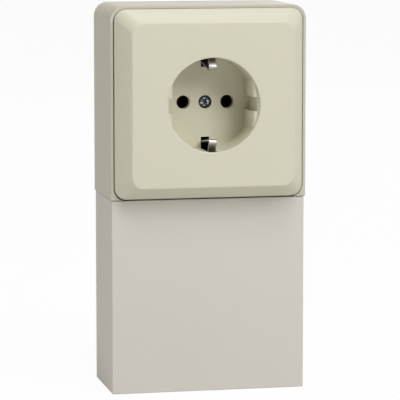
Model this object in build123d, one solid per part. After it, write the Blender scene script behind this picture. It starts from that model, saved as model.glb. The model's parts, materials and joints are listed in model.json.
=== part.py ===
from build123d import *
import os

# A two-pole socket with side earth clips, in a surface box that stands on a plain connection casing.
# Millimetres. The wall is the plane y = 0, and the front faces -Y. The socket's axis is at x = 0, z = 0.
# Depths are written as the distance in front of the wall, so a depth of 10 is y = -10.

# Surface box
box_width = 84.0
box_height = 81.45
box_depth = 39.5
box_wall = 2.2
box_back_wall = 2.0
box_corner = 6.0
box_edge_round = 0.4
rim_edge_round = 0.3
rim_width = 1.2
rebate_depth = 3.6
box_fixing_pitch = 50.0
fixing_hole_r = 2.25
knockout_r = 6.5
knockout_drop = 10.2
knockout_groove = 0.8
knockout_groove_depth = 1.2
passage_width = 36.0
passage_back = 6.0
passage_front_wall = 8.5

# Lower casing
seam_gap = 0.3
casing_side_step = 0.45
casing_front_step = 0.5
casing_height = 82.35
casing_wall = 2.0
casing_edge_round = 0.5
snap_rib_depth = 10.9
snap_rib_size = 1.5
snap_rib_height = 1.25

# Base plate in the lower casing
base_plate_thickness = 2.5
base_plate_gap = 0.25
ear_width = 12.0
ear_thickness = 7.5
ear_front = 15.0
tongue_length = 28.0
tongue_thickness = 1.9
tongue_gap = 0.2
barb_length = 2.9
conduit_r = 12.5
conduit_drop = 45.0
base_fixing_pitch = 50.0
base_fixing_rise = 12.35

# Cover plate
plate_side_gap = 0.45
plate_top_gap = 0.15
plate_low_gap = 0.4
plate_seat_gap = 0.2
plate_corner = 5.0
plate_wall = 2.0
plate_edge_proud = 0.5
bevel_rise = 9.6
bevel_side_run = 5.85
bevel_end_run = 5.35
face_corner = 4.8
bevel_bulge = 0.35
bevel_steps = 4
face_edge_round = 1.0

# Well of the cover plate
well_r = 19.75
well_depth = 17.5
well_wall = 2.0
well_floor = 3.0
well_rim_round = 0.5
guide_half_width = 16.9
guide_ledge = 1.5
guide_chamfer = 0.9
guide_groove = 6.1
guide_groove_half_width = 19.0
pin_pitch = 19.0
pin_hole_r = 2.8
pin_hole_round = 0.35
slot_width = 3.7
slot_start = 14.8
slot_skin = 1.5

# Cover screw
screw_hole_r = 2.85
screw_seat = 2.6
screw_boss_r = 4.5
screw_boss_length = 1.2
cover_screw_head_r = 2.6
cover_screw_head = 1.9
cover_screw_shank_r = 1.45
cover_screw_past_strap = 1.0

# Insert
insert_width = 45.6
insert_height = 45.0
insert_corner = 3.0
insert_gap = 0.1
insert_back = 11.6
insert_front_wall = 3.0
rear_cover_thickness = 2.0
chamber_gap = 0.5
chamber_width = 8.4
chamber_height = 9.0
pin_passage_r = 3.0
terminal_x = 14.5
terminal_z = -15.5
terminal_plate = 9.6
terminal_window_gap = 1.2
earth_screw_gap = 0.4
clip_pocket_width = 4.6
clip_pocket_start = 14.2
clip_pocket_end = 20.9
lug_width = 6.0
lug_length = 3.0
lug_height = 1.1
lug_rise = 3.4

# Contacts
contact_thickness = 0.9
contact_seat_gap = 0.1
contact_strip_width = 5.6
finger_thickness = 0.7
finger_width = 6.0
finger_root_half = 3.0
finger_pinch_half = 2.55
finger_flare_half = 3.3
finger_front_gap = 0.9
finger_pinch_share = 0.75

# Earth strap and clips
strap_width = 8.0
strap_half_length = 21.5
strap_thickness = 1.0
strap_collar_r = 2.6
strap_collar_length = 1.4
earth_terminal_x = -13.5
earth_terminal_z = 10.0
earth_wing_height = 9.0
earth_wing_margin = 0.8
clip_thickness = 0.7
clip_width = 3.3
clip_root_r = 17.6
clip_shoulder_drop = 23.6
clip_crest_r = 14.4
clip_crest_drop = 3.2
clip_nose_r = 15.8
clip_nose_drop = 2.4
clip_tip_r = 20.2
clip_tip_drop = 5.2
clip_nose_bend_r = 0.9
clip_neck_width = 2.6
clip_slot_gap = 0.15
clip_head_width = 4.0
clip_head_gap = 0.1
clip_head_length = 0.9
finger_bend_r = 1.6

# Support frame
frame_top_gap = 4.0
frame_low_gap = 3.05
frame_screw_margin = 3.6
frame_corner = 8.0
frame_thickness = 1.2
frame_standoff = 6.0
frame_opening_r = 23.0
frame_leg_width = 14.0
frame_leg_gap = 0.1
frame_leg_end = 13.0
frame_window_gap = 0.3
frame_hole_r = 2.1
frame_boss_r = 4.0
frame_boss_rib = 2.0

# Screws, clamps and rivets
frame_screw_r = 1.5
frame_screw_length = 12.0
frame_screw_head_r = 3.0
frame_screw_head = 2.0
terminal_screw_r = 1.65
terminal_screw_length = 6.0
earth_screw_length = 3.6
terminal_screw_head_r = 2.8
terminal_screw_head = 1.8
clamp_size = 8.0
clamp_corner = 1.2
clamp_thickness = 1.0
joining_screw_inset = 11.55
joining_screw_depth = 9.5
joining_screw_r = 1.45
joining_screw_length = 8.5
joining_screw_head_r = 2.7
joining_screw_head = 1.9
rivet_height = 9.2
rivet_r = 1.5
rivet_head_r = 2.2
rivet_head = 0.8
thread_gap = 0.05
hole_gap = 0.2

# Shares of a screw head's radius or height
recess_reach = 0.62
recess_arm = 0.32
recess_depth = 0.6
head_round = 0.35

# How far a cutting block reaches past the wall that it cuts
overcut = 1.0

# Sizes that follow from the ones above
opening_half_width = box_width / 2 - rim_width
plate_width = 2 * (opening_half_width - plate_side_gap)
plate_height = box_height - rim_width - plate_top_gap - plate_low_gap
opening_top = plate_height / 2 + plate_top_gap
box_above = opening_top + rim_width
box_below = box_height - box_above
plate_back = box_depth - rebate_depth + plate_seat_gap
edge_depth = box_depth + plate_edge_proud
face_depth = edge_depth + bevel_rise
face_width = plate_width - 2 * bevel_side_run
face_height = plate_height - 2 * bevel_end_run
inner_half_width = box_width / 2 - box_wall
casing_width = box_width - 2 * casing_side_step
casing_depth = box_depth - casing_front_step
casing_top = -box_below - seam_gap
casing_bottom = casing_top - casing_height
casing_inner_half = casing_width / 2 - casing_wall
floor_front = face_depth - well_depth
floor_back = floor_front - well_floor
screw_seat_depth = floor_front - screw_seat
insert_front = floor_back - screw_boss_length - insert_gap
chamber_front = insert_front - insert_front_wall
rear_cover_back = insert_back - rear_cover_thickness
strap_back = rear_cover_back - strap_thickness
contact_back = insert_back + contact_seat_gap
contact_front = contact_back + contact_thickness
pin_x = pin_pitch / 2
leg_inner = insert_width / 2 + frame_leg_gap
frame_depth = insert_front + frame_standoff
frame_top = box_above - box_wall - frame_top_gap
frame_low = -box_below + box_wall + frame_low_gap
frame_screw_x = (leg_inner + frame_thickness + inner_half_width) / 2
joining_screw_x = casing_inner_half - joining_screw_inset
wing_end = earth_terminal_x - clamp_size / 2 - earth_wing_margin


def prism(outline, back, front, x=0.0, z=0.0):
    """An outline in the XZ plane, as thick as from one depth to another."""
    return extrude(Plane.XZ.offset(back) * Pos(x, z) * outline, front - back)


def block(x_low, x_high, z_low, z_high, back, front):
    """A rectangular block between two sides, two heights and two depths."""
    outline = Rectangle(x_high - x_low, z_high - z_low)
    return prism(outline, back, front, (x_low + x_high) / 2, (z_low + z_high) / 2)


def rod(radius, back, front, x=0.0, z=0.0):
    """A round rod or hole along the depth."""
    return prism(Circle(radius), back, front, x, z)


def upright_rod(radius, x, depth, z_low, z_high):
    """A round rod or hole along Z."""
    return Pos(x, -depth, (z_low + z_high) / 2) * Cylinder(radius, z_high - z_low)


def cross_recess(radius, depth, x, z, top):
    """The cross slot cut into a screw head whose top is at the given depth."""
    arm = radius * recess_arm / 2
    reach = radius * recess_reach
    cut = block(x - reach, x + reach, z - arm, z + arm, top - depth, top)
    return cut + block(x - arm, x + arm, z - reach, z + reach, top - depth, top)


def front_screw(shank_r, length, head_r, head, seat, x=0.0, z=0.0):
    """A cross-head screw whose head stands in front of its seat."""
    screw = rod(shank_r, seat - length, seat, x, z)
    cap = rod(head_r, seat, seat + head, x, z)
    cap = fillet(cap.faces().sort_by(Axis.Y)[0].edges(), head * head_round)
    return screw + cap - cross_recess(head_r, head * recess_depth, x, z, seat + head)


def leaf(points, bend_r, width, thickness):
    """A bent strip of sheet: its middle line lies in a plane across X, as (depth, z) points.

    The bend radius is one number, or a list with one for each bend."""
    path = FilletPolyline(*[(0, -depth, z) for depth, z in points], radius=bend_r)
    start = Plane(origin=path @ 0, x_dir=(1, 0, 0), z_dir=path % 0)
    return sweep(start * Rectangle(width, thickness), path)


def surface_box():
    """The upper box: shell, rim rebate, two screw bosses, fixing holes and the cable passage."""
    outline = Rectangle(box_width, box_height)
    outline = fillet(outline.vertices().group_by(Axis.Y)[-1], box_corner)
    middle = (box_above - box_below) / 2
    shell = prism(outline, 0, box_depth, 0, middle)
    shell = fillet(shell.edges().filter_by(Axis.Y).group_by(Axis.Z)[0], box_edge_round)
    shell = fillet(shell.faces().sort_by(Axis.Y)[0].edges(), rim_edge_round)
    inside = Rectangle(2 * inner_half_width, box_height - 2 * box_wall)
    inside = fillet(inside.vertices().group_by(Axis.Y)[-1], box_corner - box_wall)
    shell -= prism(inside, box_back_wall, box_depth, 0, middle)
    rebate_low = -box_below - hole_gap
    rebate = RectangleRounded(2 * opening_half_width, opening_top - rebate_low, plate_corner + plate_side_gap)
    shell -= prism(rebate, box_depth - rebate_depth, box_depth, 0, (opening_top + rebate_low) / 2)
    for side in (-1, 1):
        boss = rod(frame_boss_r, box_back_wall, frame_depth, side * frame_screw_x)
        rib_ends = sorted((side * frame_screw_x, side * (inner_half_width + box_wall / 2)))
        boss += block(*rib_ends, -frame_boss_rib / 2, frame_boss_rib / 2, box_back_wall, frame_depth)
        shell += boss
        pilot_back = frame_depth - frame_screw_length
        shell -= rod(frame_screw_r + thread_gap, pilot_back, frame_depth, side * frame_screw_x)
        hole_top = -box_below + box_wall
        shell -= upright_rod(joining_screw_r + hole_gap, side * joining_screw_x, joining_screw_depth,
                             -box_below - overcut, hole_top + overcut)
        for end in (-1, 1):
            spot = (side * box_fixing_pitch / 2, end * box_fixing_pitch / 2)
            shell -= rod(fixing_hole_r, 0, box_back_wall, *spot)
    shell -= block(-passage_width / 2, passage_width / 2, -box_below - overcut,
                   -box_below + box_wall + overcut, passage_back, box_depth - passage_front_wall)
    groove = Circle(knockout_r) - Circle(knockout_r - knockout_groove)
    shell -= prism(groove, 0, knockout_groove_depth, 0, box_above - knockout_drop)
    return shell


def lower_casing():
    """The plain casing: open at the back and at the top, with a snap rib on each side wall."""
    half = casing_width / 2
    shell = block(-half, half, casing_bottom, casing_top, 0, casing_depth)
    kept_sharp = shell.faces().sort_by(Axis.Z)[-1].edges() + shell.faces().sort_by(Axis.Y)[-1].edges()
    rounded = [edge for edge in shell.edges() if edge not in kept_sharp]
    shell = fillet(rounded, casing_edge_round)
    shell -= block(-casing_inner_half, casing_inner_half, casing_bottom + casing_wall, casing_top + overcut,
                   0, casing_depth - casing_wall)
    middle = (casing_top + casing_bottom) / 2
    for side in (-1, 1):
        ends = sorted((side * (casing_inner_half - snap_rib_height), side * (half - casing_wall / 2)))
        shell += block(*ends, middle - tongue_length / 2, middle + tongue_length / 2,
                       snap_rib_depth, snap_rib_depth + snap_rib_size)
    return shell


def lower_base_plate():
    """The plate behind the casing: ears for the joining screws, snap tongues, holes for wall and conduit."""
    half = casing_inner_half - base_plate_gap
    low = casing_bottom + casing_wall + base_plate_gap
    plate = block(-half, half, low, casing_top, 0, base_plate_thickness)
    middle = (casing_top + casing_bottom) / 2
    tongue_outer = casing_inner_half - snap_rib_height - tongue_gap
    barb_back = snap_rib_depth + snap_rib_size + tongue_gap
    for side in (-1, 1):
        x = side * joining_screw_x
        plate += block(x - ear_width / 2, x + ear_width / 2, casing_top - ear_thickness, casing_top,
                       base_plate_thickness, ear_front)
        plate -= upright_rod(joining_screw_r + thread_gap, x, joining_screw_depth,
                             casing_top - ear_thickness - overcut, casing_top + overcut)
        tongue = [(tongue_outer - tongue_thickness, 0), (tongue_outer, 0), (tongue_outer, barb_back)]
        tongue += [(tongue_outer + snap_rib_height - tongue_gap, barb_back)]
        tongue += [(tongue_outer - tongue_gap, barb_back + barb_length)]
        tongue += [(tongue_outer - tongue_thickness, barb_back + barb_length)]
        outline = make_face(Polyline(*[(side * across, -depth) for across, depth in tongue], close=True))
        plate += Pos(0, 0, middle - tongue_length / 2) * extrude(outline, tongue_length, dir=(0, 0, 1))
        plate -= rod(fixing_hole_r, 0, base_plate_thickness, side * base_fixing_pitch / 2,
                     casing_bottom + base_fixing_rise)
    plate -= rod(conduit_r, 0, base_plate_thickness, 0, casing_top - conduit_drop)
    return plate


def bevelled_body(width, height, corner, front_width, front_height, front_corner, bulge, back, edge, front):
    """The plate's body: straight side walls up to the edge, then a slightly crowned bevel to the face."""
    body = prism(RectangleRounded(width, height, corner), back, edge)
    sections = []
    for step in range(bevel_steps + 1):
        share = step / bevel_steps
        crown = 8 * bulge * share * (1 - share)
        across = width + (front_width - width) * share + crown
        upright = height + (front_height - height) * share + crown
        outline = RectangleRounded(across, upright, corner + (front_corner - corner) * share)
        sections.append(Plane.XZ.offset(edge + (front - edge) * share) * outline)
    return body + loft(sections, ruled=True)


def cover_plate():
    """The cover: a bevelled shell with the well, its guides, pin holes, screw seat and earth slots."""
    cover = bevelled_body(plate_width, plate_height, plate_corner, face_width, face_height, face_corner,
                          bevel_bulge, plate_back, edge_depth, face_depth)
    cover = fillet(cover.faces().sort_by(Axis.Y)[0].edges(), face_edge_round)
    inner_width = plate_width - 2 * plate_wall
    inner_height = plate_height - 2 * plate_wall
    cover -= bevelled_body(inner_width, inner_height, plate_corner - plate_wall, face_width - plate_wall,
                           face_height - plate_wall, face_corner - plate_wall / 2, bevel_bulge,
                           plate_back, edge_depth, face_depth - plate_wall)
    cover += rod(well_r + well_wall, floor_back, face_depth - plate_wall / 2)
    cover += rod(screw_boss_r, floor_back - screw_boss_length, floor_back)
    cavity = Circle(well_r)
    guides = cavity - Rectangle(2 * guide_half_width, 3 * well_r)
    guides -= Rectangle(2 * guide_groove_half_width, guide_groove)
    cover -= prism(cavity - guides, floor_front, face_depth)
    ledge = face_depth - guide_ledge
    cover -= prism(cavity, ledge, face_depth)
    lead = cover.edges().filter_by(Axis.Z)
    lead = lead.filter_by(lambda edge: abs(edge.center().Y + ledge) < 0.01)
    lead = lead.filter_by(lambda edge: abs(abs(edge.center().X) - guide_half_width) < 0.01)
    cover = chamfer(lead, guide_chamfer)
    rim = cover.edges().filter_by(GeomType.CIRCLE)
    rim = rim.filter_by(lambda edge: abs(edge.center().Y + face_depth) < 0.01)
    rim = rim.filter_by(lambda edge: abs(edge.radius - well_r) < 0.01)
    cover = fillet(rim, well_rim_round)
    for side in (-1, 1):
        cover -= rod(pin_hole_r, floor_back, floor_front, side * pin_x)
        mouth = Plane.XZ.offset(floor_front - pin_hole_round) * Pos(side * pin_x, 0) * Circle(pin_hole_r)
        wide = Plane.XZ.offset(floor_front) * Pos(side * pin_x, 0) * Circle(pin_hole_r + pin_hole_round)
        cover -= loft([mouth, wide])
        slot = sorted((side * slot_start, side * (well_r + well_wall + overcut)))
        cover -= block(-slot_width / 2, slot_width / 2, *slot, floor_back, face_depth - slot_skin)
    cover -= rod(screw_hole_r, screw_seat_depth, floor_front)
    cover -= rod(cover_screw_shank_r + hole_gap, floor_back - screw_boss_length, screw_seat_depth)
    return cover


def cover_screw():
    """The screw in the middle of the well, threaded into the earth strap."""
    length = screw_seat_depth - strap_back + cover_screw_past_strap
    return front_screw(cover_screw_shank_r, length, cover_screw_head_r, cover_screw_head, screw_seat_depth)


def support_frame():
    """The steel frame round the well, with a leg at each side that grips the insert."""
    width = 2 * (frame_screw_x + frame_screw_margin)
    outline = RectangleRounded(width, frame_top - frame_low, frame_corner)
    outline = Pos(0, (frame_top + frame_low) / 2) * outline - Circle(frame_opening_r)
    frame = prism(outline, frame_depth, frame_depth + frame_thickness)
    for side in (-1, 1):
        frame -= rod(frame_hole_r, frame_depth, frame_depth + frame_thickness, side * frame_screw_x)
        leg = sorted((side * leg_inner, side * (leg_inner + frame_thickness)))
        frame += block(*leg, -frame_leg_width / 2, frame_leg_width / 2, frame_leg_end,
                       frame_depth + frame_thickness)
        window = lug_width / 2 + frame_window_gap
        window_back = insert_back + lug_rise - frame_window_gap
        frame -= block(*leg, -window, window, window_back, window_back + lug_length + 2 * frame_window_gap)
    return frame


def contact_outline(side):
    """The flat of a contact, from under the pin hole to its terminal."""
    strip_low = terminal_z - terminal_plate / 2
    strip_high = finger_width / 2
    outline = Pos(side * pin_x, (strip_low + strip_high) / 2) * Rectangle(contact_strip_width,
                                                                         strip_high - strip_low)
    return outline + Pos(side * terminal_x, terminal_z) * Rectangle(terminal_plate, terminal_plate)


def clip_pocket(side, back, front):
    """The slot through the insert in which an earth clip moves."""
    ends = sorted((side * clip_pocket_start, side * clip_pocket_end))
    return block(-clip_pocket_width / 2, clip_pocket_width / 2, *ends, back, front)


def insert_base():
    """The insulating block: a chamber for each contact, pin passages, clip slots and lugs for the frame."""
    outline = RectangleRounded(insert_width, insert_height, insert_corner)
    base = prism(outline, insert_back, insert_front)
    base -= rod(cover_screw_shank_r + hole_gap, insert_back, insert_front)
    for side in (-1, 1):
        base -= rod(rivet_r + thread_gap, insert_back, insert_front, 0, side * rivet_height)
        base -= rod(pin_passage_r, chamber_front, insert_front, side * pin_x)
        chamber = sorted((side * (pin_x - chamber_width / 2),
                          side * (terminal_x + terminal_plate / 2 + chamber_gap)))
        base -= block(*chamber, terminal_z - terminal_plate / 2 - chamber_gap, chamber_height / 2,
                      insert_back, chamber_front)
        base -= clip_pocket(side, insert_back, insert_front)
        lug = sorted((side * insert_width / 2, side * (insert_width / 2 + lug_height)))
        base += block(*lug, -lug_width / 2, lug_width / 2, insert_back + lug_rise,
                      insert_back + lug_rise + lug_length)
    return base


def insert_rear_cover():
    """The insulating plate behind the chambers, cut away at the two lower terminals."""
    outline = RectangleRounded(insert_width, insert_height, insert_corner)
    cover = prism(outline, rear_cover_back, insert_back)
    cover -= rod(strap_collar_r + hole_gap, rear_cover_back, insert_back)
    cover -= rod(terminal_screw_r + earth_screw_gap, rear_cover_back, insert_back, earth_terminal_x,
                 earth_terminal_z)
    window_inner = terminal_x - clamp_size / 2 - terminal_window_gap
    window_top = terminal_z + clamp_size / 2 + terminal_window_gap
    for side in (-1, 1):
        cover -= rod(rivet_r + thread_gap, rear_cover_back, insert_back, 0, side * rivet_height)
        cover -= clip_pocket(side, rear_cover_back, insert_back)
        window = sorted((side * window_inner, side * (insert_width / 2 + overcut)))
        cover -= block(*window, -insert_height / 2 - overcut, window_top, rear_cover_back, insert_back)
    return cover


def contact(side):
    """A brass contact: its flat, and two spring fingers that grip a round pin."""
    flat = prism(contact_outline(side), contact_back, contact_front)
    hole_r = terminal_screw_r + thread_gap
    flat -= rod(hole_r, contact_back, contact_front, side * terminal_x, terminal_z)
    front = chamber_front - finger_front_gap
    pinch = contact_front + (front - contact_front) * finger_pinch_share
    for hand in (-1, 1):
        inner = finger_thickness / 2
        points = [(contact_front - contact_thickness / 2, hand * (finger_root_half - inner))]
        points += [(pinch, hand * (finger_pinch_half - inner)), (front, hand * (finger_flare_half - inner))]
        finger = leaf(points, finger_bend_r, finger_width, finger_thickness)
        flat += Pos(side * pin_x, 0, 0) * Rot(0, 90, 0) * finger
    return flat


def clamp(x, z, seat):
    """A square clamp plate, which its screw pulls against the terminal."""
    outline = RectangleRounded(clamp_size, clamp_size, clamp_corner)
    return prism(outline, seat - clamp_thickness, seat, x, z) - rod(terminal_screw_r + hole_gap,
                                                                    seat - clamp_thickness, seat, x, z)


def terminal_screw(x, z, seat, length):
    """A terminal screw, its head towards the wall and its shank towards the front."""
    under_head = seat - clamp_thickness
    screw = front_screw(terminal_screw_r, length, terminal_screw_head_r, terminal_screw_head, 0.0)
    return Pos(x, -under_head, z) * Rot(0, 0, 180) * screw


def earth_strap():
    """The earth strap: a strip with a tapped collar, two clip slots and a wing for the terminal."""
    outline = Rectangle(strap_width, 2 * strap_half_length)
    wing = Rectangle(-wing_end, earth_wing_height)
    outline += Pos(wing_end / 2, earth_terminal_z) * wing
    strap = prism(outline, strap_back, rear_cover_back)
    strap += rod(strap_collar_r, rear_cover_back, rear_cover_back + strap_collar_length)
    collar_front = rear_cover_back + strap_collar_length
    strap -= rod(cover_screw_shank_r + thread_gap, strap_back, collar_front)
    tapped_r = terminal_screw_r + thread_gap
    strap -= rod(tapped_r, strap_back, rear_cover_back, earth_terminal_x, earth_terminal_z)
    slot = Rectangle(clip_neck_width + 2 * clip_slot_gap, clip_thickness + 2 * clip_slot_gap)
    for side in (-1, 1):
        strap -= rod(rivet_r + thread_gap, strap_back, rear_cover_back, 0, side * rivet_height)
        strap -= prism(slot, strap_back, rear_cover_back, 0, side * clip_root_r)
    return strap


def earth_clip(side):
    """A spring contact: T head behind the strap, neck in its slot, and a leaf with a nose near the front."""
    head_front = strap_back - clip_head_gap
    leaf_back = rear_cover_back + clip_head_gap
    head = Rectangle(clip_head_width, clip_thickness)
    neck = Rectangle(clip_neck_width, clip_thickness)
    clip = prism(head, head_front - clip_head_length, head_front, 0, side * clip_root_r)
    clip += prism(neck, head_front, leaf_back, 0, side * clip_root_r)
    half = clip_thickness / 2
    points = [(leaf_back, clip_root_r), (face_depth - clip_shoulder_drop, clip_root_r)]
    points += [(face_depth - clip_crest_drop, clip_crest_r + half)]
    points += [(face_depth - clip_nose_drop, clip_nose_r), (face_depth - clip_tip_drop, clip_tip_r)]
    points = [(depth, side * r) for depth, r in points]
    bends = [finger_bend_r, clip_nose_bend_r, clip_nose_bend_r]
    return clip + leaf(points, bends, clip_width, clip_thickness)


def rivet(side):
    """A rivet through base, rear cover and strap, with a head at each end."""
    z = side * rivet_height
    shank = rod(rivet_r, strap_back, insert_front, 0, z)
    shank += rod(rivet_head_r, insert_front, insert_front + rivet_head, 0, z)
    return shank + rod(rivet_head_r, strap_back - rivet_head, strap_back, 0, z)


def joining_screw(side):
    """A screw down through the floor of the surface box into an ear of the base plate."""
    seat = -box_below + box_wall
    x = side * joining_screw_x
    screw = front_screw(joining_screw_r, joining_screw_length, joining_screw_head_r, joining_screw_head, 0.0)
    return Pos(x, -joining_screw_depth, seat) * Rot(-90, 0, 0) * screw


parts = {
    "surface_box": surface_box(),
    "lower_casing": lower_casing(),
    "lower_base_plate": lower_base_plate(),
    "cover_plate": cover_plate(),
    "cover_screw": cover_screw(),
    "support_frame": support_frame(),
    "insert_base": insert_base(),
    "insert_rear_cover": insert_rear_cover(),
    "earth_strap": earth_strap(),
    "earth_clip_top": earth_clip(1),
    "earth_clip_bottom": earth_clip(-1),
    "clamp_earth": clamp(earth_terminal_x, earth_terminal_z, strap_back),
    "terminal_screw_earth": terminal_screw(earth_terminal_x, earth_terminal_z, strap_back,
                                           earth_screw_length),
    "rivet_top": rivet(1),
    "rivet_bottom": rivet(-1),
}
for name, side in (("left", -1), ("right", 1)):
    x = side * terminal_x
    parts["contact_" + name] = contact(side)
    parts["clamp_" + name] = clamp(x, terminal_z, contact_back)
    parts["terminal_screw_" + name] = terminal_screw(x, terminal_z, contact_back, terminal_screw_length)
    frame_front = frame_depth + frame_thickness
    parts["frame_screw_" + name] = front_screw(frame_screw_r, frame_screw_length, frame_screw_head_r,
                                               frame_screw_head, frame_front, side * frame_screw_x)
    parts["joining_screw_" + name] = joining_screw(side)

os.makedirs("parts", exist_ok=True)
for name, shape in parts.items():
    shape.label = name
    export_step(shape, os.path.join("parts", name + ".step"))
    print(name, round(shape.volume, 1))
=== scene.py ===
import json
import math

import bmesh
import bpy
from bpy.props import FloatProperty, FloatVectorProperty, PointerProperty
from mathutils import Matrix, Vector


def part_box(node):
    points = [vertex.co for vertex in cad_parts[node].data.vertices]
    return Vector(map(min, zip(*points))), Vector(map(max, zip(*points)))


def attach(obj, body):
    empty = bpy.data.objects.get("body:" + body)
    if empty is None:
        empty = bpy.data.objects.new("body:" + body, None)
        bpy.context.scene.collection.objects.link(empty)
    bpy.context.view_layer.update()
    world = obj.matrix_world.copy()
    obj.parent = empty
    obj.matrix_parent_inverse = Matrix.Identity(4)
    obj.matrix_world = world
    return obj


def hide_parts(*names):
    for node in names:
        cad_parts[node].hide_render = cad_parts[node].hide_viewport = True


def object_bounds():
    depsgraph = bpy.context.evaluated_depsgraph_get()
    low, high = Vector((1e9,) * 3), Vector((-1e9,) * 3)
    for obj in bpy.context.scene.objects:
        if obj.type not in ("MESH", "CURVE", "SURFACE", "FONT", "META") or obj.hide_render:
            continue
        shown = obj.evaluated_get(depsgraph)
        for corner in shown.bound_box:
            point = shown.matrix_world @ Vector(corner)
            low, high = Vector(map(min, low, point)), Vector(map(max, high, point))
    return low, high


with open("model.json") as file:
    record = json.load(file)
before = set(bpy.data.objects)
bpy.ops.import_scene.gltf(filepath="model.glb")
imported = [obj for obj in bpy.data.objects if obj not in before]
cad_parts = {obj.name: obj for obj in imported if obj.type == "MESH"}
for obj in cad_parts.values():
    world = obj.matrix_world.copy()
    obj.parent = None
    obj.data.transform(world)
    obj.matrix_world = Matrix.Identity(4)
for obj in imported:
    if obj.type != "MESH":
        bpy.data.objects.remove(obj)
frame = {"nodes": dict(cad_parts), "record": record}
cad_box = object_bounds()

bl_info = {
    "name": "Wall socket on a connection casing",
    "version": (1, 0, 0),
    "blender": (4, 5, 0),
    "location": "3D View > Sidebar > Wall socket",
    "description": "Gives a surface-mounted socket's fixed frame its finishes and its fine parts",
    "category": "Object",
}

MILLIMETRE = 0.001
FULL_TURN = 2 * math.pi
QUARTER_TURN = math.pi / 2
WHITE = (1.0, 1.0, 1.0, 1.0)


def mm(*values):
    """Millimetres as metres: one number, or a vector of three."""
    scaled = [value * MILLIMETRE for value in values]
    return scaled[0] if len(scaled) == 1 else Vector(scaled)


# Points nearer to each other than this are one point
WELD_DISTANCE = mm(0.001)

# Smooth copies: every fold shows as an edge, and a crease only where both its faces are broad
FOLD_ANGLE = math.radians(50)
CREASE_ANGLE = math.radians(20)
NARROW_FACE = mm(0.4)
NORMAL_WEIGHT = 100

# Forms from node trees: the sharpest angle that is shaded smooth, and the steps of their curves
EDGE_ANGLE = math.radians(32)
ROUND_STEPS = 8
SHEET_EDGE_STEPS = 4
SCREW_RINGS, SCREW_SIDES = 260, 32
RIVET_RINGS, RIVET_SIDES = 160, 40

# Screws: the point's size as a share of the shank's radius, the rounding under the head, and
# how many pitches under the head the thread starts
SCREW_POINT = 0.7
SEAT_ROUND = mm(0.15)
PLAIN_NECK = 0.5

# Cross slots: the pilot's radius is a share of the slot's reach, its length a share of the
# slot's depth, and the foot's width a share of the mouth's
PILOT_RADIUS = 0.55
PILOT_LENGTH = 1.7
PILOT_SIDES = 24
SLOT_FOOT = 0.5

# The rounding of a rivet's head, as a share of its height
RIVET_DOME = 0.9

# Mouldings: how strongly the clouds tint them, how much their roughness varies either way, and
# the sizes of the specks and of the changes in the sheen, as shares of the grain and the clouds.
# Here and below, a NOISE is the part of the noise's range that is used.
CREAM_CLOUDS = 0.018
INSERT_CLOUDS = 0.3
INSERT_ROUGHNESS = 0.55
SHEEN_SPREAD = 0.03
SHEEN_NOISE = (0.3, 0.7)
SPECK_SHARE = 0.6
SHEEN_SHARE = 0.35
GRAIN_BUMP = 1.0
PLASTIC_IOR = 1.5

# Sheet metal: its drawing marks run along Y, their width is a share of their length, and they
# make it this much smoother or rougher
NICKEL_ROUGHNESS = 0.38
BRASS_ROUGHNESS = 0.48
NICKEL_TARNISH = 0.12
BRASS_TARNISH = 0.2
MARK_STRETCH = (1.0, 0.12, 1.0)
MARK_SHARE = 0.05
MARK_NOISE = (0.25, 0.75)
MARK_SMOOTHER = 0.06
MARK_ROUGHER = 0.08
MARK_HEIGHT = mm(0.01)
MARK_BUMP = 0.5

# Zinc plate: it goes from the plain dark plate to spots of bright steel colour that are painted
# glints, and from the plate's roughness to the steel's
GLINT_SPOT_NOISE = (0.52, 0.64)
GLINT_SPOT_ROUGHNESS = (0.42, 0.24)
GLINT_SPOT_HEIGHT = mm(0.05)
GLINT_SPOT_BUMP = 0.6

# Stage: the floor's own grey, the camera's sensor in millimetres, and the way to each lamp
FLOOR_GREY = (0.8, 0.8, 0.8, 1.0)
SENSOR_WIDTH = 36.0
LAMP_WAYS = {
    "key": (0.65, -1.0, 0.8),
    "front": (0.05, -0.6, 1.0),
    "top": (0.0, 0.4, 1.0),
    "side": (-1.0, -0.2, 0.25),
    "back": (0.55, 1.0, 0.6),
}


def metre_property(name, text, default_mm):
    """A length property, given in millimetres and kept in metres."""
    return FloatProperty(name=name, description=text, default=mm(default_mm), unit="LENGTH",
                         precision=5)


def colour_property(name, text, default):
    """A linear colour property."""
    return FloatVectorProperty(name=name, description=text, default=default, size=3,
                               subtype="COLOR", min=0.0, max=1.0)


def factor_property(name, text, default):
    """A share from nought to one."""
    return FloatProperty(name=name, description=text, default=default, min=0.0, max=1.0,
                         subtype="FACTOR")


def power_property(name, text, default):
    """A lamp's power in watts."""
    return FloatProperty(name=name, description=text, default=default, min=0.0, subtype="POWER")


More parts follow.
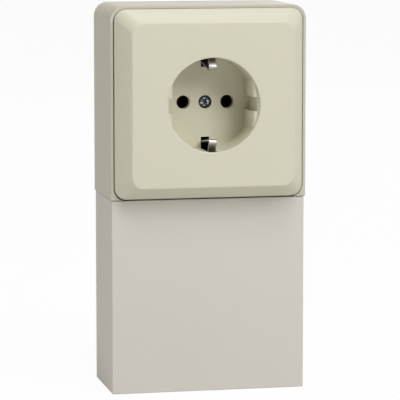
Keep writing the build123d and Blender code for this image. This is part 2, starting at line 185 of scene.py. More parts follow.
class FinishSettings(bpy.types.PropertyGroup):
    """Colours and surface of the plastics and metals."""
    cover_colour: colour_property("Cover", "Cream of the cover plate", (0.642, 0.616, 0.450))
    # The box's cream is darker than the cover's: painted shade for the dimly lit sides of the box
    box_colour: colour_property("Box", "Cream of the surface box", (0.562, 0.531, 0.405))
    casing_colour: colour_property("Casing", "Greyer cream of the lower casing",
                                   (0.636, 0.606, 0.500))
    # The insert's near-black colour is painted shade, so that the slots and holes look dark
    insert_colour: colour_property("Insert", "Dark moulding inside", (0.020, 0.017, 0.013))
    # The zinc's near-black colour is painted dark reflection, and the bright steel colour of its
    # spots makes painted glints
    zinc_colour: colour_property("Zinc", "Blue zinc plate of the screws", (0.045, 0.052, 0.058))
    steel_colour: colour_property("Steel", "Bright steel where the plate is worn",
                                  (0.42, 0.46, 0.48))
    nickel_colour: colour_property("Nickel", "Plate of the earth clips and strap",
                                   (0.40, 0.38, 0.34))
    # The brass is far darker than brass: painted shade for the contacts seen down the pin holes
    brass_colour: colour_property("Brass", "Dull brass of the contacts", (0.170, 0.110, 0.040))
    cover_gloss: factor_property("Cover gloss", "Strength of the shine of cover and insert", 0.3)
    casing_gloss: factor_property("Casing gloss", "Strength of the shine of box and casing", 0.02)
    cover_roughness: factor_property("Cover roughness", "Satin of the cover plate and the box",
                                     0.38)
    casing_roughness: factor_property("Casing roughness", "Fine matt of the lower casing", 0.48)
    cloud_size: metre_property("Cloud size", "Width of the faint clouds in the colour", 30.0)
    grain_size: metre_property("Grain size", "Width of one grain of the moulded surface", 0.55)
    grain_height: metre_property("Grain height", "Height of one grain of that surface", 0.004)
    brush_length: metre_property("Brush length", "Length of the sheet metal's drawing marks", 3.0)
    # The spots of this size on the screws are painted glints
    wear_size: metre_property("Wear size", "Width of a worn spot on a screw", 0.9)


class FastenerSettings(bpy.types.PropertyGroup):
    """Threads, cross slots and heads of the screws and rivets."""
    plate_pitch: metre_property("Plate pitch", "Pitch of the screws through cover and boxes", 1.1)
    plate_thread: metre_property("Plate thread", "Height of the thread on those screws", 0.3)
    terminal_pitch: metre_property("Terminal pitch", "Pitch of the terminal screws", 0.6)
    terminal_thread: metre_property("Terminal thread", "Height of the terminal screws' thread",
                                    0.28)
    slot_reach: factor_property("Slot reach", "Cross slot's reach, a share of the head's radius",
                                0.62)
    slot_width: factor_property("Slot width", "Width of a wing, a share of the head's radius",
                                0.30)
    slot_depth: factor_property("Slot depth", "Cross slot's depth, a share of the head's height",
                                0.62)
    head_round: factor_property("Head round", "Rounding of a head, a share of its height", 0.5)
    rivet_radius: metre_property("Rivet radius", "Radius of a rivet's shank", 1.5)
    rivet_head: metre_property("Rivet head", "Height of a rivet's head", 0.8)


class ClipSettings(bpy.types.PropertyGroup):
    """The sprung earth clips. Depths are taken from the wall, radii from the socket's axis."""
    width: metre_property("Width", "Width of the leaf", 3.3)
    thickness: metre_property("Thickness", "Thickness of the sheet", 0.7)
    edge_round: metre_property("Edge round", "Rounding of the sheet's edges", 0.16)
    root_radius: metre_property("Root radius", "Where the leaf stands in the strap", 17.6)
    root_depth: metre_property("Root depth", "Where the leaf starts", 9.7)
    shoulder_depth: metre_property("Shoulder depth", "Where the leaf leans inwards", 26.0)
    crest_radius: metre_property("Crest radius", "Middle of the sheet at the crest", 14.75)
    crest_depth: metre_property("Crest depth", "Where the crest is", 46.4)
    nose_radius: metre_property("Nose radius", "Middle of the sheet at the nose", 15.8)
    nose_depth: metre_property("Nose depth", "Where the nose is", 47.2)
    tip_radius: metre_property("Tip radius", "Middle of the sheet at its end", 20.2)
    tip_depth: metre_property("Tip depth", "Where the sheet ends", 44.4)
    shoulder_bend: metre_property("Shoulder bend", "Radius of the bend at the shoulder", 1.6)
    nose_bend: metre_property("Nose bend", "Radius of the bends at crest and nose", 0.9)
    neck_width: metre_property("Neck width", "Width of the neck in the strap", 2.6)
    head_width: metre_property("Head width", "Width of the head behind the strap", 4.0)
    head_back: metre_property("Head back", "Where the head starts", 7.6)
    head_front: metre_property("Head front", "Where the head ends and the neck starts", 8.5)


class StageSettings(bpy.types.PropertyGroup):
    """Camera, lamps and floor."""
    camera_place: FloatVectorProperty(name="Camera place", description="Where the camera stands",
                                      default=(-0.2308, -1.0909, 0.0939), size=3,
                                      subtype="TRANSLATION", unit="LENGTH", precision=4)
    camera_aim: FloatVectorProperty(name="Camera aim", description="The way that it looks",
                                    default=(0.2094, 0.9699, -0.1243), size=3,
                                    subtype="DIRECTION", precision=4)
    lens: FloatProperty(name="Lens", description="Focal length in mm on the camera's sensor",
                        default=231.2, min=1.0)
    key_power: power_property("Key power", "Lamp in front, high and to the right", 14.4)
    front_power: power_property("Front power", "Lamp in front and above", 11.2)
    top_power: power_property("Top power", "Lamp overhead", 5.6)
    side_power: power_property("Side power", "Lamp on the left", 7.6)
    back_power: power_property("Back power", "Lamp behind, high and to the right", 5.5)
    lamp_distance: metre_property("Lamp distance", "From the socket to each lamp", 1600.0)
    lamp_size: metre_property("Lamp size", "Side of each square lamp", 700.0)
    lamp_colour: colour_property("Lamp colour", "Slightly cool tint of the lamps",
                                 (0.89, 0.90, 1.0))
    world_strength: FloatProperty(name="World strength", description="Strength of the even light",
                                  default=0.06, min=0.0)
    world_colour: colour_property("World colour", "Warm tint of the even light",
                                  (1.0, 0.87, 0.62))
    floor_size: FloatProperty(name="Floor size", description="Side of the floor", default=12.0,
                              unit="LENGTH")
    floor_whiteness: factor_property("Floor whiteness", "How white the floor looks", 0.96)


def feed(tree, socket, value):
    """Gives an input a value, or links it to another node's output."""
    if isinstance(value, bpy.types.NodeSocket):
        tree.links.new(value, socket)
    else:
        socket.default_value = value


def add_node(tree, kind, inputs=None, **settings):
    """Adds a node with the given settings, then feeds its inputs, by name or number."""
    node = tree.nodes.new(kind)
    for name, value in settings.items():
        setattr(node, name, value)
    for name, value in (inputs or {}).items():
        feed(tree, node.inputs[name], value)
    return node


def calc(tree, operation, *values):
    """A Math node on numbers or other nodes' outputs."""
    return add_node(tree, "ShaderNodeMath", dict(enumerate(values)), operation=operation).outputs[0]


def point(tree, x, y, z=0.0):
    """A vector from three numbers or outputs."""
    return add_node(tree, "ShaderNodeCombineXYZ", {0: x, 1: y, 2: z}).outputs[0]


def ranged(tree, value, source=(0.0, 1.0), target=(0.0, 1.0)):
    """A value taken from the source range to the target range, and held there at both ends."""
    return add_node(tree, "ShaderNodeMapRange", {
        "Value": value, "From Min": source[0], "From Max": source[1], "To Min": target[0],
        "To Max": target[1]}).outputs["Result"]


def joined_parts(tree, parts):
    """The geometry of several nodes as one."""
    joined = add_node(tree, "GeometryNodeJoinGeometry")
    for part in parts:
        tree.links.new(part.outputs[0], joined.inputs[0])
    return joined.outputs[0]


def empty_tree(name, numbers, vectors=()):
    """An empty Geometry Nodes tree with named inputs, and the outputs that carry them.

    Every tree also takes the place, the turn and the material that end_tree gives its form."""
    inputs = {**dict.fromkeys(numbers, "Float"), **dict.fromkeys(vectors, "Vector"),
              "Place": "Vector", "Turn": "Vector", "Material": "Material"}
    tree = bpy.data.node_groups.new(name, "GeometryNodeTree")
    for label, kind in inputs.items():
        tree.interface.new_socket(label, in_out="INPUT", socket_type="NodeSocket" + kind)
    tree.interface.new_socket("Geometry", in_out="OUTPUT", socket_type="NodeSocketGeometry")
    given = tree.nodes.new("NodeGroupInput")
    return tree, {label: given.outputs[label] for label in inputs}


def end_tree(tree, geometry, given):
    """Ends a tree: shades its form, turns and places it, makes it real and gives it a material."""
    angle = add_node(tree, "GeometryNodeInputMeshEdgeAngle").outputs["Unsigned Angle"]
    creased = calc(tree, "GREATER_THAN", angle, EDGE_ANGLE)
    smooth = add_node(tree, "GeometryNodeSetShadeSmooth", {
        "Geometry": geometry, "Shade Smooth": True})
    edged = add_node(tree, "GeometryNodeSetShadeSmooth", {
        "Geometry": smooth.outputs[0], "Selection": creased, "Shade Smooth": False}, domain="EDGE")
    placed = add_node(tree, "GeometryNodeTransform", {
        "Geometry": edged.outputs[0], "Translation": given["Place"], "Rotation": given["Turn"]})
    real = add_node(tree, "GeometryNodeRealizeInstances", {"Geometry": placed.outputs[0]})
    dressed = add_node(tree, "GeometryNodeSetMaterial", {
        "Geometry": real.outputs[0], "Material": given["Material"]})
    add_node(tree, "NodeGroupOutput", {"Geometry": dressed.outputs[0]})
    return tree


def made_piece(node, tree, values):
    """Runs a tree with the given values. Its plain mesh is the piece that stands for a node."""
    piece = bpy.data.objects.new(node + "_shell", bpy.data.meshes.new(node + "_shell"))
    bpy.context.scene.collection.objects.link(piece)
    maker = piece.modifiers.new("Maker", "NODES")
    maker.node_group = tree
    values = {**values, "Material": finish_named(slot_of(node))}
    for item in tree.interface.items_tree:
        if item.in_out == "INPUT":
            maker[item.identifier] = values[item.name]
    graph = bpy.context.evaluated_depsgraph_get()
    mesh = bpy.data.meshes.new_from_object(piece.evaluated_get(graph), depsgraph=graph)
    piece.modifiers.remove(maker)
    build = bmesh.new()
    build.from_mesh(mesh)
    bmesh.ops.recalc_face_normals(build, faces=build.faces)
    build.to_mesh(mesh)
    build.free()
    piece.data = mesh
    stand_for(piece, node)


def bent_line(tree, corners, rounds):
    """A line through the corners, each of them rounded to its radius."""
    index = add_node(tree, "GeometryNodeInputIndex").outputs[0]
    line = add_node(tree, "GeometryNodeMeshLine", {"Count": len(corners)})
    spot = add_node(tree, "GeometryNodeIndexSwitch", data_type="VECTOR")
    size = add_node(tree, "GeometryNodeIndexSwitch", data_type="FLOAT")
    for switch, values in ((spot, corners), (size, rounds)):
        while len(switch.index_switch_items) < len(corners):
            switch.index_switch_items.new()
        feed(tree, switch.inputs["Index"], index)
        for number, value in enumerate(values):
            feed(tree, switch.inputs[str(number)], value)
    moved = add_node(tree, "GeometryNodeSetPosition", {
        "Geometry": line.outputs[0], "Position": spot.outputs[0]})
    curve = add_node(tree, "GeometryNodeMeshToCurve", {"Mesh": moved.outputs[0]})
    return rounded_curve(tree, curve, ROUND_STEPS, size.outputs[0])


def rounded_curve(tree, curve, steps, radius):
    """A curve with its corners rounded in the given number of steps."""
    return add_node(tree, "GeometryNodeFilletCurve", {
        "Curve": curve.outputs[0], "Count": steps, "Radius": radius, "Limit Radius": True},
        mode="POLY").outputs[0]


def turned_form(tree, profile, rings, sides, thread=None):
    """Turns a profile of radius and height about the Z axis.

    thread, where given, tells what the radius loses at a radius, height and share of a turn.
    The form starts as a grid from minus to plus a half, along the profile and round the axis."""
    grid = add_node(tree, "GeometryNodeMeshGrid", {
        "Size X": 1.0, "Size Y": 1.0, "Vertices X": rings, "Vertices Y": sides + 1})
    place = add_node(tree, "GeometryNodeInputPosition").outputs[0]
    across = add_node(tree, "ShaderNodeSeparateXYZ", {0: place})
    along = calc(tree, "ADD", across.outputs[0], 0.5)
    share = calc(tree, "ADD", across.outputs[1], 0.5)
    sample = add_node(tree, "GeometryNodeSampleCurve", {"Curves": profile, "Factor": along},
                      mode="FACTOR")
    spot = add_node(tree, "ShaderNodeSeparateXYZ", {0: sample.outputs["Position"]})
    radius, height = spot.outputs[0], spot.outputs[1]
    if thread:
        radius = calc(tree, "SUBTRACT", radius, thread(radius, height, share))
    angle = calc(tree, "MULTIPLY", share, -FULL_TURN)
    turned = point(tree, calc(tree, "MULTIPLY", radius, calc(tree, "COSINE", angle)),
                   calc(tree, "MULTIPLY", radius, calc(tree, "SINE", angle)), height)
    moved = add_node(tree, "GeometryNodeSetPosition", {
        "Geometry": grid.outputs["Mesh"], "Position": turned})
    return add_node(tree, "GeometryNodeMergeByDistance", {
        "Geometry": moved.outputs[0], "Distance": WELD_DISTANCE}).outputs[0]


def cross_cutter(tree, given):
    """Two crossed wings that narrow downwards, with a round pilot between them."""
    reach, width, depth = given["Slot reach"], given["Slot width"], given["Slot depth"]
    wing = calc(tree, "MULTIPLY", reach, 2.0)
    tall = calc(tree, "MULTIPLY", depth, 2.0)
    cutters = [add_node(tree, "GeometryNodeMeshCube", {"Size": point(tree, x, y, tall)})
               for x, y in ((wing, width), (width, wing))]
    radius = calc(tree, "MULTIPLY", reach, PILOT_RADIUS)
    pilot = add_node(tree, "GeometryNodeMeshCone", {
        "Vertices": PILOT_SIDES, "Radius Top": radius, "Radius Bottom": radius,
        "Depth": calc(tree, "MULTIPLY", depth, PILOT_LENGTH)})
    sunk = point(tree, 0.0, 0.0, calc(tree, "MULTIPLY", depth, -PILOT_LENGTH / 2))
    cutters.append(add_node(tree, "GeometryNodeTransform", {
        "Geometry": pilot.outputs["Mesh"], "Translation": sunk}))
    place = add_node(tree, "GeometryNodeInputPosition").outputs[0]
    height = add_node(tree, "ShaderNodeSeparateXYZ", {0: place}).outputs[2]
    foot = calc(tree, "MULTIPLY", depth, -1.0)
    narrow = ranged(tree, height, source=(foot, 0.0), target=(SLOT_FOOT, 1.0))
    tapered = add_node(tree, "ShaderNodeVectorMath", {
        0: place, 1: point(tree, narrow, narrow, 1.0)}, operation="MULTIPLY")
    shaped = add_node(tree, "GeometryNodeSetPosition", {
        "Geometry": joined_parts(tree, cutters), "Position": tapered.outputs[0]})
    return add_node(tree, "GeometryNodeTransform", {
        "Geometry": shaped.outputs[0],
        "Translation": point(tree, 0.0, 0.0, given["Head height"])}).outputs[0]


def screw_tree():
    """A cross-head screw along Z, with its seat at the origin and its head above."""
    tree, given = empty_tree("cross-head screw", (
        "Shank radius", "Shank length", "Head radius", "Head height", "Head round", "Pitch",
        "Thread depth", "Slot reach", "Slot width", "Slot depth"))
    shank, head, height = given["Shank radius"], given["Head radius"], given["Head height"]
    end = calc(tree, "MULTIPLY", given["Shank length"], -1.0)
    tip = calc(tree, "MULTIPLY", shank, SCREW_POINT)
    corners = [point(tree, 0.0, end), point(tree, tip, end),
               point(tree, shank, calc(tree, "ADD", end, tip)), point(tree, shank, 0.0),
               point(tree, head, 0.0), point(tree, head, height), point(tree, 0.0, height)]
    rounds = [0.0, 0.0, 0.0, 0.0, SEAT_ROUND, given["Head round"], 0.0]
    profile = bent_line(tree, corners, rounds)

    def thread(radius, level, share):
        """A groove of triangular section that fades in over one pitch below the plain neck."""
        phase = calc(tree, "ADD", calc(tree, "DIVIDE", level, given["Pitch"]), share)
        flank = calc(tree, "MULTIPLY", calc(tree, "PINGPONG", phase, 0.5), 2.0)
        below = calc(tree, "DIVIDE", calc(tree, "MULTIPLY", level, -1.0), given["Pitch"])
        fade = add_node(tree, "ShaderNodeClamp", {
            "Value": calc(tree, "SUBTRACT", below, PLAIN_NECK)})
        inward = calc(tree, "DIVIDE", radius, shank)
        cut = calc(tree, "MULTIPLY", calc(tree, "MULTIPLY", flank, fade.outputs[0]), inward)
        return calc(tree, "MULTIPLY", cut, given["Thread depth"])

    body = turned_form(tree, profile, SCREW_RINGS, SCREW_SIDES, thread)
    cut = add_node(tree, "GeometryNodeMeshBoolean", {
        "Mesh 1": body, "Mesh 2": cross_cutter(tree, given), "Self Intersection": True},
        operation="DIFFERENCE", solver="EXACT")
    return end_tree(tree, cut.outputs["Mesh"], given)


def rivet_tree():
    """A rivet along Z from the origin up, with a rounded head at each end."""
    tree, given = empty_tree("rivet", (
        "Shank radius", "Length", "Head radius", "Head height", "Head round"))
    shank, head, dome = given["Shank radius"], given["Head radius"], given["Head round"]
    low, top = given["Head height"], given["Length"]
    high = calc(tree, "SUBTRACT", top, low)
    corners = [point(tree, radius, height) for radius, height in (
        (0.0, 0.0), (head, 0.0), (head, low), (shank, low),
        (shank, high), (head, high), (head, top), (0.0, top))]
    profile = bent_line(tree, corners, [0.0, dome, 0.0, 0.0, 0.0, 0.0, dome, 0.0])
    return end_tree(tree, turned_form(tree, profile, RIVET_RINGS, RIVET_SIDES), given)


def spring_leaf_tree():
    """An earth clip in the plane of X, its distance from the socket's axis, and Y, its depth."""
    line = ("Root", "Shoulder", "Crest", "Nose", "Tip")
    tree, given = empty_tree(
        "spring clip", ("Width", "Thickness", "Edge round", "Shoulder bend", "Nose bend"),
        ("Head", "Head centre", "Neck", "Neck centre", *line))
    bend = given["Nose bend"]
    path = bent_line(tree, [given[name] for name in line],
                     [0.0, given["Shoulder bend"], bend, bend, 0.0])
    upright = add_node(tree, "GeometryNodeSetCurveNormal", {"Curve": path}, mode="Z_UP")
    sheet = add_node(tree, "GeometryNodeCurvePrimitiveQuadrilateral", {
        "Width": given["Thickness"], "Height": given["Width"]})
    edge = rounded_curve(tree, sheet, SHEET_EDGE_STEPS, given["Edge round"])
    leaf = add_node(tree, "GeometryNodeCurveToMesh", {
        "Curve": upright.outputs[0], "Profile Curve": edge, "Fill Caps": True})
    parts = []
    for name in ("Head", "Neck"):
        cube = add_node(tree, "GeometryNodeMeshCube", {"Size": given[name]})
        parts.append(add_node(tree, "GeometryNodeTransform", {
            "Geometry": cube.outputs["Mesh"], "Translation": given[name + " centre"]}))
    return end_tree(tree, joined_parts(tree, [*parts, leaf]), given)


def empty_material(name):
    """A material with an empty node tree."""
    material = bpy.data.materials.new(name)
    material.use_nodes = True
    material.node_tree.nodes.clear()
    return material, material.node_tree


def end_material(tree, **inputs):
    """Ends a material's tree in one Principled shader with the given inputs."""
    named = {name.replace("_", " "): value for name, value in inputs.items()}
    shader = add_node(tree, "ShaderNodeBsdfPrincipled", named)
    add_node(tree, "ShaderNodeOutputMaterial", {"Surface": shader.outputs["BSDF"]})


def mixed_colour(tree, first, second, factor):
    """A colour that goes from the first to the second with the factor.

    A Mix node's inputs 6 and 7 and its output 2 are the ones for colours."""
    mix = add_node(tree, "ShaderNodeMix", {0: factor, 6: (*first, 1.0), 7: (*second, 1.0)},
                   data_type="RGBA")
    return mix.outputs[2]


def shaded_colour(tree, colour, spread, factor):
    """A colour that goes from darker to lighter by the spread with the factor."""
    dark, light = ([min(1.0, part * share) for part in colour]
                   for share in (1 - spread, 1 + spread))
    return mixed_colour(tree, dark, light, factor)


def bumped(tree, height, strength, distance):
    """The normal of a surface that rises and falls with the height."""
    return add_node(tree, "ShaderNodeBump", {
        "Height": height, "Strength": strength, "Distance": distance}).outputs["Normal"]


def noise(tree, place, size, detail=2.0, roughness=0.5):
    """Noise whose features have the given width in metres."""
    return add_node(tree, "ShaderNodeTexNoise", {
        "Vector": place, "Scale": 1 / size, "Detail": detail,
        "Roughness": roughness}).outputs["Fac"]


def moulded_plastic(name, colour, roughness, gloss, settings, clouds=CREAM_CLOUDS):
    """Moulded plastic: faint clouds in the colour, a fine grain, and a sheen that varies."""
    material, tree = empty_material(name)
    place = add_node(tree, "ShaderNodeTexCoord").outputs["Object"]
    wide = noise(tree, place, settings.cloud_size, detail=3.0)
    specks = noise(tree, place, settings.grain_size * SPECK_SHARE, detail=1.0)
    mean = calc(tree, "MULTIPLY", calc(tree, "ADD", wide, specks), 0.5)
    sheen = noise(tree, place, settings.cloud_size * SHEEN_SHARE, detail=4.0)
    spread = (roughness - SHEEN_SPREAD, roughness + SHEEN_SPREAD)
    grain = noise(tree, place, settings.grain_size)
    end_material(tree, Base_Color=shaded_colour(tree, colour, clouds, mean),
                 Roughness=ranged(tree, sheen, SHEEN_NOISE, spread),
                 Normal=bumped(tree, grain, GRAIN_BUMP, settings.grain_height),
                 IOR=PLASTIC_IOR, Specular_IOR_Level=gloss)
    return material


def plated_metal(name, colour, roughness, tarnish, settings):
    """Plated or bare sheet metal: drawing marks along one axis, and a faint cloudy tarnish."""
    material, tree = empty_material(name)
    place = add_node(tree, "ShaderNodeTexCoord").outputs["Object"]
    along = add_node(tree, "ShaderNodeMapping", {"Vector": place, "Scale": MARK_STRETCH})
    marks = noise(tree, along.outputs["Vector"], settings.brush_length * MARK_SHARE, detail=3.0)
    spread = (roughness - MARK_SMOOTHER, roughness + MARK_ROUGHER)
    clouds = noise(tree, place, settings.brush_length, detail=4.0, roughness=0.6)
    end_material(tree, Base_Color=shaded_colour(tree, colour, tarnish, clouds), Metallic=1.0,
                 Roughness=ranged(tree, marks, MARK_NOISE, spread),
                 Normal=bumped(tree, marks, MARK_BUMP, MARK_HEIGHT))
    return material


def worn_plate(name, settings):
    """Dark blue zinc plate with small spots of bright steel: its dark colour is painted dark
    reflection, and its spots are painted glints.
    """
    material, tree = empty_material(name)
    place = add_node(tree, "ShaderNodeTexCoord").outputs["Object"]
    spots = noise(tree, place, settings.wear_size)
    # The share of painted glint at each point
    worn = ranged(tree, spots, source=GLINT_SPOT_NOISE)
    end_material(tree, Metallic=1.0,
                 Base_Color=mixed_colour(tree, settings.zinc_colour, settings.steel_colour, worn),
                 Roughness=ranged(tree, worn, target=GLINT_SPOT_ROUGHNESS),
                 Normal=bumped(tree, spots, GLINT_SPOT_BUMP, GLINT_SPOT_HEIGHT))
    return material


def finish_makers(settings):
    """What makes the finish of each of the record's material slots."""
    satin, matt = settings.cover_roughness, settings.casing_roughness
    shine, dull = settings.cover_gloss, settings.casing_gloss
    return {
        "cover_plastic": lambda: moulded_plastic(
            "cover cream", settings.cover_colour, satin, shine, settings),
        "box_plastic": lambda: moulded_plastic(
            "box cream", settings.box_colour, satin, dull, settings),
        "casing_plastic": lambda: moulded_plastic(
            "casing cream", settings.casing_colour, matt, dull, settings),
        "insert_plastic": lambda: moulded_plastic(
            "insert dark", settings.insert_colour, INSERT_ROUGHNESS, shine, settings,
            INSERT_CLOUDS),
        "zinc_plated_steel": lambda: worn_plate("blue zinc", settings),
        "plated_brass": lambda: plated_metal(
            "nickel plate", settings.nickel_colour, NICKEL_ROUGHNESS, NICKEL_TARNISH, settings),
        "bare_brass": lambda: plated_metal(
            "bare brass", settings.brass_colour, BRASS_ROUGHNESS, BRASS_TARNISH, settings),
    }


# The finishes made so far, by material slot
FINISHES = {}


def finish_named(slot):
    """The finish that belongs to a material slot of the record, made once."""
    if slot not in FINISHES:
        FINISHES[slot] = finish_makers(bpy.context.scene.socket_finish)[slot]()
    return FINISHES[slot]


def slot_of(node):
    """The record's material slot of a CAD node."""
    for subpart in frame["record"]["subparts"]:
        if subpart["node"] == node:
            return subpart["material_slot"]
    raise KeyError(node)


def body_of(node):
    """The body that a CAD node rides on."""
    for body, members in frame["record"]["behaviour"]["bodies"].items():
        if node in members:
            return body
    raise KeyError(node)


def box_of(node):
    """A CAD node's lowest and highest corners, as vectors."""
    return [Vector(corner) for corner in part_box(node)]


def stand_for(piece, node):
    """Puts a finished piece in a CAD node's place: its body, its material slot and its finish."""
    slot = slot_of(node)
    piece.data.materials.clear()
    piece.data.materials.append(finish_named(slot))
    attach(piece, body_of(node))
    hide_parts(node)


def face_breadth(face):
    """How wide a face is across its longest edge."""
    return 2 * face.calc_area() / max(edge.calc_length() for edge in face.edges)


def smooth_copy(node, name):
    """A copy of a CAD node with its triangles joined, shaded smooth except across real creases."""
    build = bmesh.new()
    build.from_mesh(frame["nodes"][node].data)
    bmesh.ops.remove_doubles(build, verts=build.verts, dist=WELD_DISTANCE)
    bmesh.ops.dissolve_degenerate(build, dist=WELD_DISTANCE, edges=build.edges)
    for face in build.faces:
        face.smooth = True
    breadth = {face: face_breadth(face) for face in build.faces}
    for edge in build.edges:
        if len(edge.link_faces) != 2:
            continue
        angle = edge.calc_face_angle()
        broad = all(breadth[face] > NARROW_FACE for face in edge.link_faces)
        edge.smooth = not (angle > FOLD_ANGLE or (angle > CREASE_ANGLE and broad))
    mesh = bpy.data.meshes.new(name)
    build.to_mesh(mesh)
    build.free()
    piece = bpy.data.objects.new(name, mesh)
    bpy.context.scene.collection.objects.link(piece)
    weighted = piece.modifiers.new("Weighted normals", "WEIGHTED_NORMAL")
    weighted.keep_sharp = True
    weighted.weight = NORMAL_WEIGHT
    return piece


def dress(*nodes):
    """Makes the smooth pieces that stand for the given CAD nodes."""
    for node in nodes:
        stand_for(smooth_copy(node, node + "_shell"), node)


class SOCKET_OT_box(bpy.types.Operator):
    """Make the surface box and the casing under it"""
    bl_idname = "socket.box"
    bl_label = "Surface box and casing"

    def execute(self, context):
        dress("surface_box", "lower_casing", "lower_base_plate")
        return {"FINISHED"}


class SOCKET_OT_cover(bpy.types.Operator):
    """Make the cover plate"""
    bl_idname = "socket.cover"
    bl_label = "Cover plate"

    def execute(self, context):
        dress("cover_plate")
        return {"FINISHED"}


class SOCKET_OT_insert(bpy.types.Operator):
    """Make the insulating insert, its frame, contacts, strap and clamps"""
    bl_idname = "socket.insert"
    bl_label = "Insert"

    def execute(self, context):
        dress("insert_base", "insert_rear_cover", "support_frame", "earth_strap", "contact_left",
              "contact_right", "clamp_left", "clamp_right", "clamp_earth")
        return {"FINISHED"}


# The way a head points, and the turn that takes the Z axis there, with a roll about that axis
HEAD_WAYS = {
    "front": (Vector((0, -1, 0)), lambda roll: (QUARTER_TURN, roll, 0.0)),
    "wall": (Vector((0, 1, 0)), lambda roll: (-QUARTER_TURN, roll, 0.0)),
    "up": (Vector((0, 0, 1)), lambda roll: (0.0, 0.0, roll)),
}

# Each screw: the way of its head, its shank's radius and head's height in millimetres, and its
# roll in degrees
SCREWS = {
    "cover_screw": ("front", 1.45, 1.9, 24),
    "frame_screw_left": ("front", 1.5, 2.0, 61),
    "frame_screw_right": ("front", 1.5, 2.0, 12),
    "joining_screw_left": ("up", 1.45, 1.9, 33),
    "joining_screw_right": ("up", 1.45, 1.9, 78),
    "terminal_screw_left": ("wall", 1.65, 1.8, 40),
    "terminal_screw_right": ("wall", 1.65, 1.8, 5),
    "terminal_screw_earth": ("wall", 1.65, 1.8, 70),
}


def screw_values(node, settings):
    """The screw tree's inputs for a node. Place, turn and lengths come from the node's box."""
    way, shank, head, roll = SCREWS[node]
    axis, turn = HEAD_WAYS[way]
    low, high = box_of(node)
    size = high - low
    length = abs(size.dot(axis))
    top = (low + high) / 2 + axis * length / 2
    radius = size.x / 2
    terminal = node.startswith("terminal")
    return {
        "Shank radius": mm(shank), "Shank length": length - mm(head), "Head radius": radius,
        "Head height": mm(head), "Head round": mm(head) * settings.head_round,
        "Pitch": settings.terminal_pitch if terminal else settings.plate_pitch,
        "Thread depth": settings.terminal_thread if terminal else settings.plate_thread,
        "Slot reach": radius * settings.slot_reach, "Slot width": radius * settings.slot_width,
        "Slot depth": mm(head) * settings.slot_depth,
        "Place": top - axis * mm(head), "Turn": turn(math.radians(roll)),
    }


def rivet_values(node, settings):
    """The rivet tree's inputs for a node. Its place and its size come from the node's box."""
    axis, turn = HEAD_WAYS["front"]
    low, high = box_of(node)
    size = high - low
    return {
        "Shank radius": settings.rivet_radius, "Length": size.y, "Head radius": size.x / 2,
        "Head height": settings.rivet_head, "Head round": settings.rivet_head * RIVET_DOME,
        "Place": (low + high) / 2 - axis * size.y / 2, "Turn": turn(0.0),
    }


class SOCKET_OT_fasteners(bpy.types.Operator):
    """Make the screws and the two rivets"""
    bl_idname = "socket.fasteners"
    bl_label = "Screws and rivets"

    def execute(self, context):
        settings = context.scene.socket_fasteners
        screws = screw_tree()
        for node in SCREWS:
            made_piece(node, screws, screw_values(node, settings))
        rivets = rivet_tree()
        for node in ("rivet_top", "rivet_bottom"):
            made_piece(node, rivets, rivet_values(node, settings))
        return {"FINISHED"}


class SOCKET_OT_clips(bpy.types.Operator):
    """Make the two sprung earth clips"""
    bl_idname = "socket.clips"
    bl_label = "Earth clips"

    def execute(self, context):
        clip = context.scene.socket_clips
        tree = spring_leaf_tree()
        sheet = clip.thickness
        neck_length = clip.root_depth - clip.head_front
        values = {
            "Width": clip.width, "Thickness": sheet, "Edge round": clip.edge_round,
            "Head": (sheet, clip.head_front - clip.head_back, clip.head_width),
            "Head centre": (clip.root_radius, (clip.head_front + clip.head_back) / 2, 0.0),
            "Neck": (sheet, neck_length, clip.neck_width),
            "Neck centre": (clip.root_radius, clip.head_front + neck_length / 2, 0.0),
            "Root": (clip.root_radius, clip.root_depth, 0.0),
            "Shoulder": (clip.root_radius, clip.shoulder_depth, 0.0),
            "Crest": (clip.crest_radius, clip.crest_depth, 0.0),
            "Nose": (clip.nose_radius, clip.nose_depth, 0.0),
            "Tip": (clip.tip_radius, clip.tip_depth, 0.0),
            "Shoulder bend": clip.shoulder_bend, "Nose bend": clip.nose_bend,
            "Place": (0.0, 0.0, 0.0),
        }
        for node, side in (("earth_clip_top", 1), ("earth_clip_bottom", -1)):
            turn = Matrix(((0, 0, side), (0, -1, 0), (side, 0, 0))).to_euler()
            made_piece(node, tree, {**values, "Turn": tuple(turn)})
        return {"FINISHED"}


def plainly_seen(tree, share):
    """The given share for rays from the camera, mirrors and glass, and nought for all others."""
    rays = add_node(tree, "ShaderNodeLightPath").outputs
    seen = calc(tree, "MAXIMUM", rays["Is Camera Ray"], rays["Is Glossy Ray"])
    through = calc(tree, "MAXIMUM", seen, rays["Is Transmission Ray"])
    return calc(tree, "MULTIPLY", through, share)


def white_where_seen(tree, real, white, share):
    """A shader that is white, by the given share, only where it is plainly seen."""
    return add_node(tree, "ShaderNodeMixShader", {
        0: plainly_seen(tree, share), 1: real.outputs[0], 2: white.outputs[0]}).outputs[0]


def area_lamp(name, place, target, size, power, colour):
    """A soft square lamp that points at a target."""
    data = bpy.data.lights.new(name, "AREA")
    data.energy = power
    data.size = size
    data.color = colour
    lamp = bpy.data.objects.new(name, data)
    lamp.location = place
    lamp.rotation_euler = (target - place).to_track_quat("-Z", "Y").to_euler()
    bpy.context.scene.collection.objects.link(lamp)


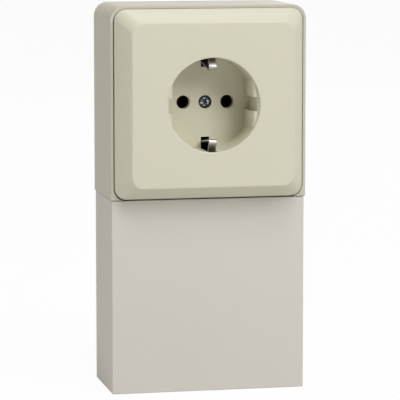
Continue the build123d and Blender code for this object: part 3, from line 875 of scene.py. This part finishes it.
def pale_floor(settings):
    """A large plain floor that looks white and keeps the object's shadow."""
    height = cad_box[0].z
    half = settings.floor_size / 2
    corners = [(-half, -half), (half, -half), (half, half), (-half, half)]
    mesh = bpy.data.meshes.new("floor")
    mesh.from_pydata([(x, y, height) for x, y in corners], [], [(0, 1, 2, 3)])
    floor = bpy.data.objects.new("floor", mesh)
    bpy.context.scene.collection.objects.link(floor)
    material, tree = empty_material("pale floor")
    matt = add_node(tree, "ShaderNodeBsdfDiffuse", {"Color": FLOOR_GREY})
    white = add_node(tree, "ShaderNodeEmission", {"Color": WHITE, "Strength": 1.0})
    add_node(tree, "ShaderNodeOutputMaterial", {
        "Surface": white_where_seen(tree, matt, white, settings.floor_whiteness)})
    mesh.materials.append(material)


def even_world(settings):
    """An even pale light, white where the camera or a mirror sees it."""
    world = bpy.data.worlds.new("even light")
    world.use_nodes = True
    tree = world.node_tree
    tree.nodes.clear()
    light = add_node(tree, "ShaderNodeBackground", {
        "Color": (*settings.world_colour, 1.0), "Strength": settings.world_strength})
    white = add_node(tree, "ShaderNodeBackground", {"Color": WHITE, "Strength": 1.0})
    add_node(tree, "ShaderNodeOutputWorld", {
        "Surface": white_where_seen(tree, light, white, 1.0)})
    bpy.context.scene.world = world


def aimed_camera(settings):
    """The camera at the photograph's viewing angle."""
    data = bpy.data.cameras.new("camera")
    data.sensor_width = SENSOR_WIDTH
    data.lens = settings.lens
    camera = bpy.data.objects.new("camera", data)
    camera.location = settings.camera_place
    camera.rotation_euler = Vector(settings.camera_aim).to_track_quat("-Z", "Y").to_euler()
    bpy.context.scene.collection.objects.link(camera)
    return camera


class SOCKET_OT_stage(bpy.types.Operator):
    """Make the floor, the lamps and the camera"""
    bl_idname = "socket.stage"
    bl_label = "Stage"

    def execute(self, context):
        scene = context.scene
        settings = scene.socket_stage
        pale_floor(settings)
        even_world(settings)
        middle = (cad_box[0] + cad_box[1]) / 2
        for name, way in LAMP_WAYS.items():
            place = middle + Vector(way).normalized() * settings.lamp_distance
            area_lamp(name + " lamp", place, middle, settings.lamp_size,
                      getattr(settings, name + "_power"), settings.lamp_colour)
        scene.camera = aimed_camera(settings)
        scene.view_settings.view_transform = "Standard"
        return {"FINISHED"}


class SOCKET_PT_panel(bpy.types.Panel):
    """Lists the steps that make the socket"""
    bl_idname = "SOCKET_PT_panel"
    bl_label = "Wall socket"
    bl_space_type = "VIEW_3D"
    bl_region_type = "UI"
    bl_category = "Wall socket"

    def draw(self, context):
        for step in STEPS:
            self.layout.operator(step.bl_idname)


GROUPS = {
    "socket_finish": FinishSettings,
    "socket_fasteners": FastenerSettings,
    "socket_clips": ClipSettings,
    "socket_stage": StageSettings,
}
STEPS = (SOCKET_OT_box, SOCKET_OT_cover, SOCKET_OT_insert, SOCKET_OT_fasteners, SOCKET_OT_clips,
         SOCKET_OT_stage)
CLASSES = (*GROUPS.values(), *STEPS, SOCKET_PT_panel)


def register():
    for kind in CLASSES:
        bpy.utils.register_class(kind)
    for name, group in GROUPS.items():
        setattr(bpy.types.Scene, name, PointerProperty(type=group))


def unregister():
    for name in reversed(GROUPS):
        delattr(bpy.types.Scene, name)
    for kind in reversed(CLASSES):
        bpy.utils.unregister_class(kind)


def main():
    """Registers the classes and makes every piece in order."""
    register()
    for step in STEPS:
        group, operator = step.bl_idname.split(".")
        getattr(getattr(bpy.ops, group), operator)()


if __name__ == "__main__":
    main()
